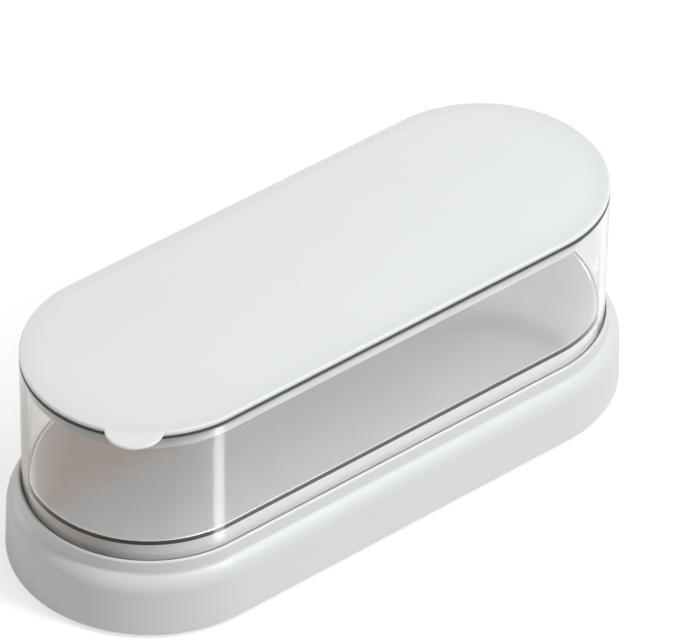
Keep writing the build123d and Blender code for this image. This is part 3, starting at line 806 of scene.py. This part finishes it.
class CLEANER_OT_base(bpy.types.Operator):
    """Finish the base shell, bottom cover, gasket and feet"""

    bl_idname = "cleaner.base"
    bl_label = "Base"

    def execute(self, context):
        colours = context.scene.cleaner_colours
        finish_nodes(moulded("Satin base plastic", colours.base, 0.34), "base_shell")
        cover = moulded(
            "Textured cover plastic",
            (0.80, 0.81, 0.80),
            0.55,
            grain_scale=1400.0,
            grain_depth=0.00006,
        )
        finish_nodes(cover, "bottom_cover")
        finish_nodes(moulded("Cover gasket rubber", (0.05, 0.05, 0.05), 0.6), "cover_gasket")
        feet = moulded(
            "Foot rubber",
            (0.22, 0.22, 0.22),
            0.75,
            grain_scale=900.0,
            grain_depth=0.00008,
            spread=0.06,
        )
        finish_nodes(feet, "foot_1", "foot_2", "foot_3", "foot_4")
        return {"FINISHED"}


class CLEANER_OT_controls(bpy.types.Operator):
    """Finish the button, its switch, the status light and the charging socket"""

    bl_idname = "cleaner.controls"
    bl_label = "Button, Light and Socket"

    def execute(self, context):
        finish_nodes(moulded("Button plastic", (0.72, 0.74, 0.75), 0.28), "power_button")
        black = moulded("Black moulded plastic", (0.03, 0.03, 0.033), 0.45, spread=0.1)
        finish_nodes(black, "switch_body", "switch_plunger", "socket_tongue")
        guide = moulded("Milky guide plastic", (0.86, 0.88, 0.89), 0.25)
        glow_through(guide, 0.7, 0.001)
        finish_nodes(guide, "light_guide")
        finish_nodes(clear_moulding("Lamp lens", (0.9, 0.95, 1.0), 0.1), "status_led")
        finish_nodes(brushed("Plated socket shell", (0.75, 0.75, 0.74), 0.25), "charge_socket")
        return {"FINISHED"}


# Name, colour, roughness, grain scale, grain depth in metres, spread of shade, nodes
GRAINED = (
    ("Fired ceramic", (0.5, 0.44, 0.35), 0.7, 1800.0, 0.00002, 0.06, ("piezo_disc",)),
    ("Green board laminate", (0.02, 0.16, 0.06), 0.35, 700.0, 0.00003, 0.2, ("main_board",)),
    (
        "Blue cell wrap",
        (0.03, 0.16, 0.32),
        0.25,
        300.0,
        0.00003,
        0.06,
        ("battery_cell_1", "battery_cell_2"),
    ),
    (
        "Sintered ferrite",
        (0.06, 0.06, 0.065),
        0.6,
        1200.0,
        0.00005,
        0.15,
        ("transformer_core", "coil_core"),
    ),
    (
        "Black epoxy",
        (0.025, 0.025, 0.027),
        0.5,
        1500.0,
        0.00003,
        0.1,
        ("transistor_1", "transistor_2", "control_chip", "transformer_bobbin"),
    ),
)


class CLEANER_OT_inside(bpy.types.Operator):
    """Finish the pieces inside the base"""

    bl_idname = "cleaner.inside"
    bl_label = "Inside Pieces"

    def execute(self, context):
        self.finish_metals()
        self.finish_plastics()
        self.finish_grained()
        return {"FINISHED"}

    def finish_metals(self):
        """Plated, fired, wound and extruded pieces, each with its own stretch of scratches."""
        plated, fired, wound = (300.0,) * 3, (200.0,) * 3, (40.0, 40.0, 2200.0)
        zinc = brushed("Zinc plated screws", (0.62, 0.62, 0.64), 0.3, stretch=plated)
        finish_nodes(zinc, "collar_screws", "cover_screws", "board_screws", "tray_screws")
        silver = brushed("Fired silver", (0.85, 0.84, 0.8), 0.35, stretch=fired)
        finish_nodes(silver, "piezo_electrode", "solder_joints")
        nickel = brushed("Nickel plate", (0.7, 0.67, 0.62), 0.25)
        finish_nodes(nickel, "battery_strips", "transistor_legs", "chip_leads")
        copper = brushed("Enamelled copper", (0.6, 0.24, 0.1), 0.3, stretch=wound, depth=0.0001)
        finish_nodes(copper, "transformer_winding", "coil_winding")
        finish_nodes(brushed("Extruded aluminium", (0.78, 0.78, 0.79), 0.35), "heat_sink")

    def finish_plastics(self):
        """Smooth moulded pieces, insulation and resin."""
        finish_nodes(moulded("Cured resin", (0.7, 0.62, 0.42), 0.3, spread=0.08), "piezo_bond")
        finish_nodes(moulded("Dark tray plastic", (0.06, 0.06, 0.065), 0.5), "battery_tray")
        nylon = moulded("Natural nylon", (0.75, 0.72, 0.62), 0.45)
        finish_nodes(nylon, "piezo_header", "piezo_plug", "battery_header", "battery_plug")
        red = moulded("Red insulation", (0.5, 0.02, 0.02), 0.4, spread=0.05)
        finish_nodes(red, "piezo_lead_red", "battery_lead_red")
        black = moulded("Black insulation", (0.02, 0.02, 0.02), 0.4, spread=0.1)
        finish_nodes(black, "piezo_lead_black", "battery_lead_black")
        sleeve = moulded("Capacitor sleeve", (0.02, 0.03, 0.12), 0.3, spread=0.06)
        finish_nodes(sleeve, "capacitor_1", "capacitor_2")

    def finish_grained(self):
        """Pieces with a grain of their own."""
        for name, colour, roughness, grain_scale, grain_depth, spread, nodes in GRAINED:
            finish = moulded(name, colour, roughness, grain_scale, grain_depth, spread)
            finish_nodes(finish, *nodes)


def before_diffuse(tree, path):
    """1 for rays that no dull surface has scattered: they show things, and light nothing."""
    return calculate(tree, "LESS_THAN", path.outputs["Diffuse Depth"], HALF_BOUNCE)


def is_seen(tree):
    """1 for rays that show a surface, directly, mirrored or through clear plastic.

    Also returns Is Glossy Ray, which tells the mirrored rays from the others.
    """
    path = add_node(tree, "LightPath")
    glossy = path.outputs["Is Glossy Ray"]
    shown = calculate(tree, "MAXIMUM", path.outputs["Is Camera Ray"], glossy)
    shown = calculate(tree, "MAXIMUM", shown, path.outputs["Is Transmission Ray"])
    return calculate(tree, "MULTIPLY", shown, before_diffuse(tree, path)), glossy


def shade_along(tree, distance, stops):
    """A colour that runs from one (metres, colour) stop to the other."""
    first, last = stops
    spread = add_node(
        tree, "MapRange", {"Value": distance, "From Min": first[0], "From Max": last[0]}
    )
    ramp = add_node(tree, "ValToRGB", {"Fac": spread.outputs["Result"]})
    for point, (_, colour) in zip(ramp.color_ramp.elements, stops):
        point.color = (*colour, 1.0)
    return ramp.outputs["Color"]


def stage_finish(name):
    """A material whose shader is still to be made, and whose glow isn't sampled as a lamp."""
    finish = bpy.data.materials.new(name)
    finish.use_nodes = True
    finish.cycles.emission_sampling = "NONE"
    tree = finish.node_tree
    tree.nodes.remove(tree.nodes["Principled BSDF"])
    return finish, tree


def floor_finish():
    """Plain white floor that keeps a faint shadow, with a polish that only gloss picks up.

    Rays that show the floor get a white that rises with distance, so that it meets the sky.
    Mirrored rays get a painted reflection: a glow whose colour runs along X from a warm brown
    end to near white, and along Y from black to grey, the lighter of the two. All other rays,
    which light the object, get plain white paint.
    """
    finish, tree = stage_finish("Plain white floor")
    seen, glossy = is_seen(tree)
    place = add_node(tree, "TexCoord").outputs["Object"]
    reach = add_node(tree, "VectorMath", {0: place}, operation="LENGTH")
    lift = add_node(
        tree,
        "MapRange",
        {
            "Value": reach.outputs["Value"],
            "From Min": FLOOR_NEAR[0],
            "From Max": FLOOR_FAR[0],
            "To Min": FLOOR_NEAR[1],
            "To Max": FLOOR_FAR[1],
        },
    )
    white = add_node(tree, "Emission", {"Color": WHITE, "Strength": lift.outputs["Result"]})
    shaded = add_node(tree, "BsdfDiffuse", {"Color": FLOOR_SHADE})
    shown = add_shaders(tree, white.outputs["Emission"], shaded.outputs["BSDF"])
    along = add_node(tree, "SeparateXYZ", {"Vector": place})
    # Painted reflection: the floor glows with these colours for mirrored rays only, warm brown
    # towards -X and black to grey along Y
    ends = shade_along(tree, along.outputs["X"], PAINTED_REFLECTION_ENDS)
    behind = shade_along(tree, along.outputs["Y"], PAINTED_REFLECTION_BEHIND)
    painted_reflection = add_node(
        tree,
        "Mix",
        {"Factor": 1.0, "A": ends, "B": behind},
        data_type="RGBA",
        blend_type="LIGHTEN",
    )
    mirrored = add_node(tree, "Emission", {"Color": painted_reflection.outputs["Result"], "Strength": 1.0})
    polish = add_node(
        tree, "BsdfGlossy", {"Color": FLOOR_POLISH, "Roughness": FLOOR_POLISH_ROUGHNESS}
    )
    polished = add_shaders(tree, mirrored.outputs["Emission"], polish.outputs["BSDF"])
    plain = add_node(tree, "BsdfDiffuse", {"Color": FLOOR_PLAIN})
    looked_at = mix_shaders(tree, glossy, shown, polished)
    whole = mix_shaders(tree, seen, plain.outputs["BSDF"], looked_at)
    tree.links.new(whole, tree.nodes["Material Output"].inputs["Surface"])
    return finish


def reflection_card_finish():
    """A warm grey card that glows only for mirrored rays: a painted reflection for the steel and
    other glossy surfaces.
    """
    finish, tree = stage_finish("Painted reflection card")
    path = add_node(tree, "LightPath")
    mirrored = calculate(tree, "GREATER_THAN", path.outputs["Glossy Depth"], HALF_BOUNCE)
    shown = calculate(tree, "MULTIPLY", mirrored, before_diffuse(tree, path))
    place = add_node(tree, "TexCoord").outputs["Object"]
    along = add_node(tree, "SeparateXYZ", {"Vector": place}).outputs["X"]
    colour = shade_along(tree, along, CARD_REFLECTION_STOPS)
    card = add_node(tree, "Emission", {"Color": colour, "Strength": 1.0})
    unseen = add_node(tree, "BsdfTransparent")
    whole = mix_shaders(tree, shown, unseen.outputs["BSDF"], card.outputs["Emission"])
    tree.links.new(whole, tree.nodes["Material Output"].inputs["Surface"])
    return finish


def light_world(colour, level):
    """An even pale sky that shows as white."""
    world = bpy.data.worlds.new("Studio")
    bpy.context.scene.world = world
    world.use_nodes = True
    tree = world.node_tree
    lighting = tree.nodes["Background"]
    lighting.inputs["Color"].default_value = (*colour, 1.0)
    lighting.inputs["Strength"].default_value = level
    white = add_node(tree, "Background", {"Color": WHITE, "Strength": 1.0})
    seen = is_seen(tree)[0]
    whole = mix_shaders(tree, seen, lighting.outputs["Background"], white.outputs["Background"])
    tree.links.new(whole, tree.nodes["World Output"].inputs["Surface"])


def direction(turn, height):
    """A unit vector at a turn from +X about the upright axis, and a height above the horizon."""
    return Vector(
        (
            math.cos(turn) * math.cos(height),
            math.sin(turn) * math.cos(height),
            math.sin(height),
        )
    )


def add_lamp(name, towards, distance, size, power, colour):
    """A soft rectangular lamp that faces the object from a direction."""
    lamp = bpy.data.lights.new(name, "AREA")
    lamp.shape = "RECTANGLE"
    lamp.size, lamp.size_y = size
    lamp.energy = power
    lamp.color = colour
    holder = bpy.data.objects.new(name, lamp)
    bpy.context.scene.collection.objects.link(holder)
    holder.matrix_world = Matrix.Translation(towards * distance) @ (
        towards.to_track_quat("Z", "Y").to_matrix().to_4x4()
    )


class CLEANER_OT_stage(bpy.types.Operator):
    """Set the floor, the soft lamps, the sky and the camera"""

    bl_idname = "cleaner.stage"
    bl_label = "Stage"

    def execute(self, context):
        stage = context.scene.cleaner_stage
        bm = bmesh.new()
        bmesh.ops.create_grid(bm, x_segments=1, y_segments=1, size=FLOOR_HALF_SIZE)
        bmesh.ops.translate(bm, verts=bm.verts, vec=(0, 0, -FLOOR_DROP))
        mesh = bpy.data.meshes.new("studio_floor")
        bm.to_mesh(mesh)
        bm.free()
        mesh.materials.append(floor_finish())
        floor = bpy.data.objects.new("studio_floor", mesh)
        context.scene.collection.objects.link(floor)
        self.add_card(context)
        light_world(stage.sky_colour, stage.sky_level)
        key = direction(stage.key_turn, stage.key_height)
        add_lamp("Key lamp", key, LAMP_DISTANCE, KEY_SIZE, stage.key_power, stage.key_colour)
        fill = direction(stage.fill_turn, stage.fill_height)
        add_lamp("Fill lamp", fill, LAMP_DISTANCE, FILL_SIZE, stage.fill_power, stage.sky_colour)
        self.add_camera(context, stage)
        context.scene.view_settings.view_transform = "Standard"
        return {"FINISHED"}

    def add_card(self, context):
        """Stand a glowing card behind the object, a painted reflection for the steel floor to
        mirror.
        """
        bm = bmesh.new()
        bmesh.ops.create_grid(bm, x_segments=1, y_segments=1, size=1.0)
        bmesh.ops.scale(bm, verts=bm.verts, vec=(CARD_HALF_WIDTH, CARD_HALF_HEIGHT, 1.0))
        upright = Matrix.Rotation(math.pi / 2, 3, "X")
        bmesh.ops.rotate(bm, verts=bm.verts, cent=(0, 0, 0), matrix=upright)
        bmesh.ops.translate(bm, verts=bm.verts, vec=CARD_CENTRE)
        mesh = bpy.data.meshes.new("painted_reflection_card")
        bm.to_mesh(mesh)
        bm.free()
        mesh.materials.append(reflection_card_finish())
        card = bpy.data.objects.new("painted_reflection_card", mesh)
        context.scene.collection.objects.link(card)

    def add_camera(self, context, stage):
        """Place the camera at the photograph's viewing angle."""
        turn, tilt = stage.camera_turn, stage.camera_tilt
        back = direction(turn - math.pi / 2, tilt)
        right = Vector((math.cos(turn), math.sin(turn), 0.0))
        up = back.cross(right)
        roll = stage.camera_roll
        right, up = (
            math.cos(roll) * right + math.sin(roll) * up,
            math.cos(roll) * up - math.sin(roll) * right,
        )
        pan_right, pan_up = stage.camera_pan
        place = Vector(stage.camera_aim) + right * pan_right + up * pan_up
        place += back * stage.camera_distance
        axes = Matrix((right, up, back)).transposed().to_4x4()
        camera = bpy.data.cameras.new("Camera")
        camera.sensor_fit = "HORIZONTAL"
        camera.sensor_width = SENSOR_WIDTH
        camera.lens = stage.lens
        camera.clip_end = CLIP_END
        holder = bpy.data.objects.new("Camera", camera)
        context.scene.collection.objects.link(holder)
        holder.matrix_world = Matrix.Translation(place) @ axes
        context.scene.camera = holder


PIECE_OPERATORS = (
    CLEANER_OT_lid,
    CLEANER_OT_seals,
    CLEANER_OT_wall,
    CLEANER_OT_tank_floor,
    CLEANER_OT_base,
    CLEANER_OT_controls,
    CLEANER_OT_inside,
    CLEANER_OT_stage,
)


class CLEANER_PT_panel(bpy.types.Panel):
    """Sidebar panel with the cleaner's sizes, colours and steps"""

    bl_idname = "CLEANER_PT_panel"
    bl_label = "Jewelry Cleaner"
    bl_space_type = "VIEW_3D"
    bl_region_type = "UI"
    bl_category = "Cleaner"

    def draw(self, context):
        scene = context.scene
        for group in (scene.cleaner_sizes, scene.cleaner_colours, scene.cleaner_stage):
            box = self.layout.box()
            for name in group.bl_rna.properties.keys():
                if name not in ("rna_type", "name"):
                    box.prop(group, name)
        for piece in PIECE_OPERATORS:
            self.layout.operator(piece.bl_idname)


CLASSES = (CleanerSizes, CleanerColours, CleanerStage, *PIECE_OPERATORS, CLEANER_PT_panel)


def register():
    for item in CLASSES:
        bpy.utils.register_class(item)
    bpy.types.Scene.cleaner_sizes = bpy.props.PointerProperty(type=CleanerSizes)
    bpy.types.Scene.cleaner_colours = bpy.props.PointerProperty(type=CleanerColours)
    bpy.types.Scene.cleaner_stage = bpy.props.PointerProperty(type=CleanerStage)


def unregister():
    del bpy.types.Scene.cleaner_stage
    del bpy.types.Scene.cleaner_colours
    del bpy.types.Scene.cleaner_sizes
    for item in reversed(CLASSES):
        bpy.utils.unregister_class(item)


def main():
    """Builds every piece and the stage."""
    register()
    bpy.ops.cleaner.lid()
    bpy.ops.cleaner.seals()
    bpy.ops.cleaner.wall()
    bpy.ops.cleaner.tank_floor()
    bpy.ops.cleaner.base()
    bpy.ops.cleaner.controls()
    bpy.ops.cleaner.inside()
    bpy.ops.cleaner.stage()


if __name__ == "__main__":
    main()
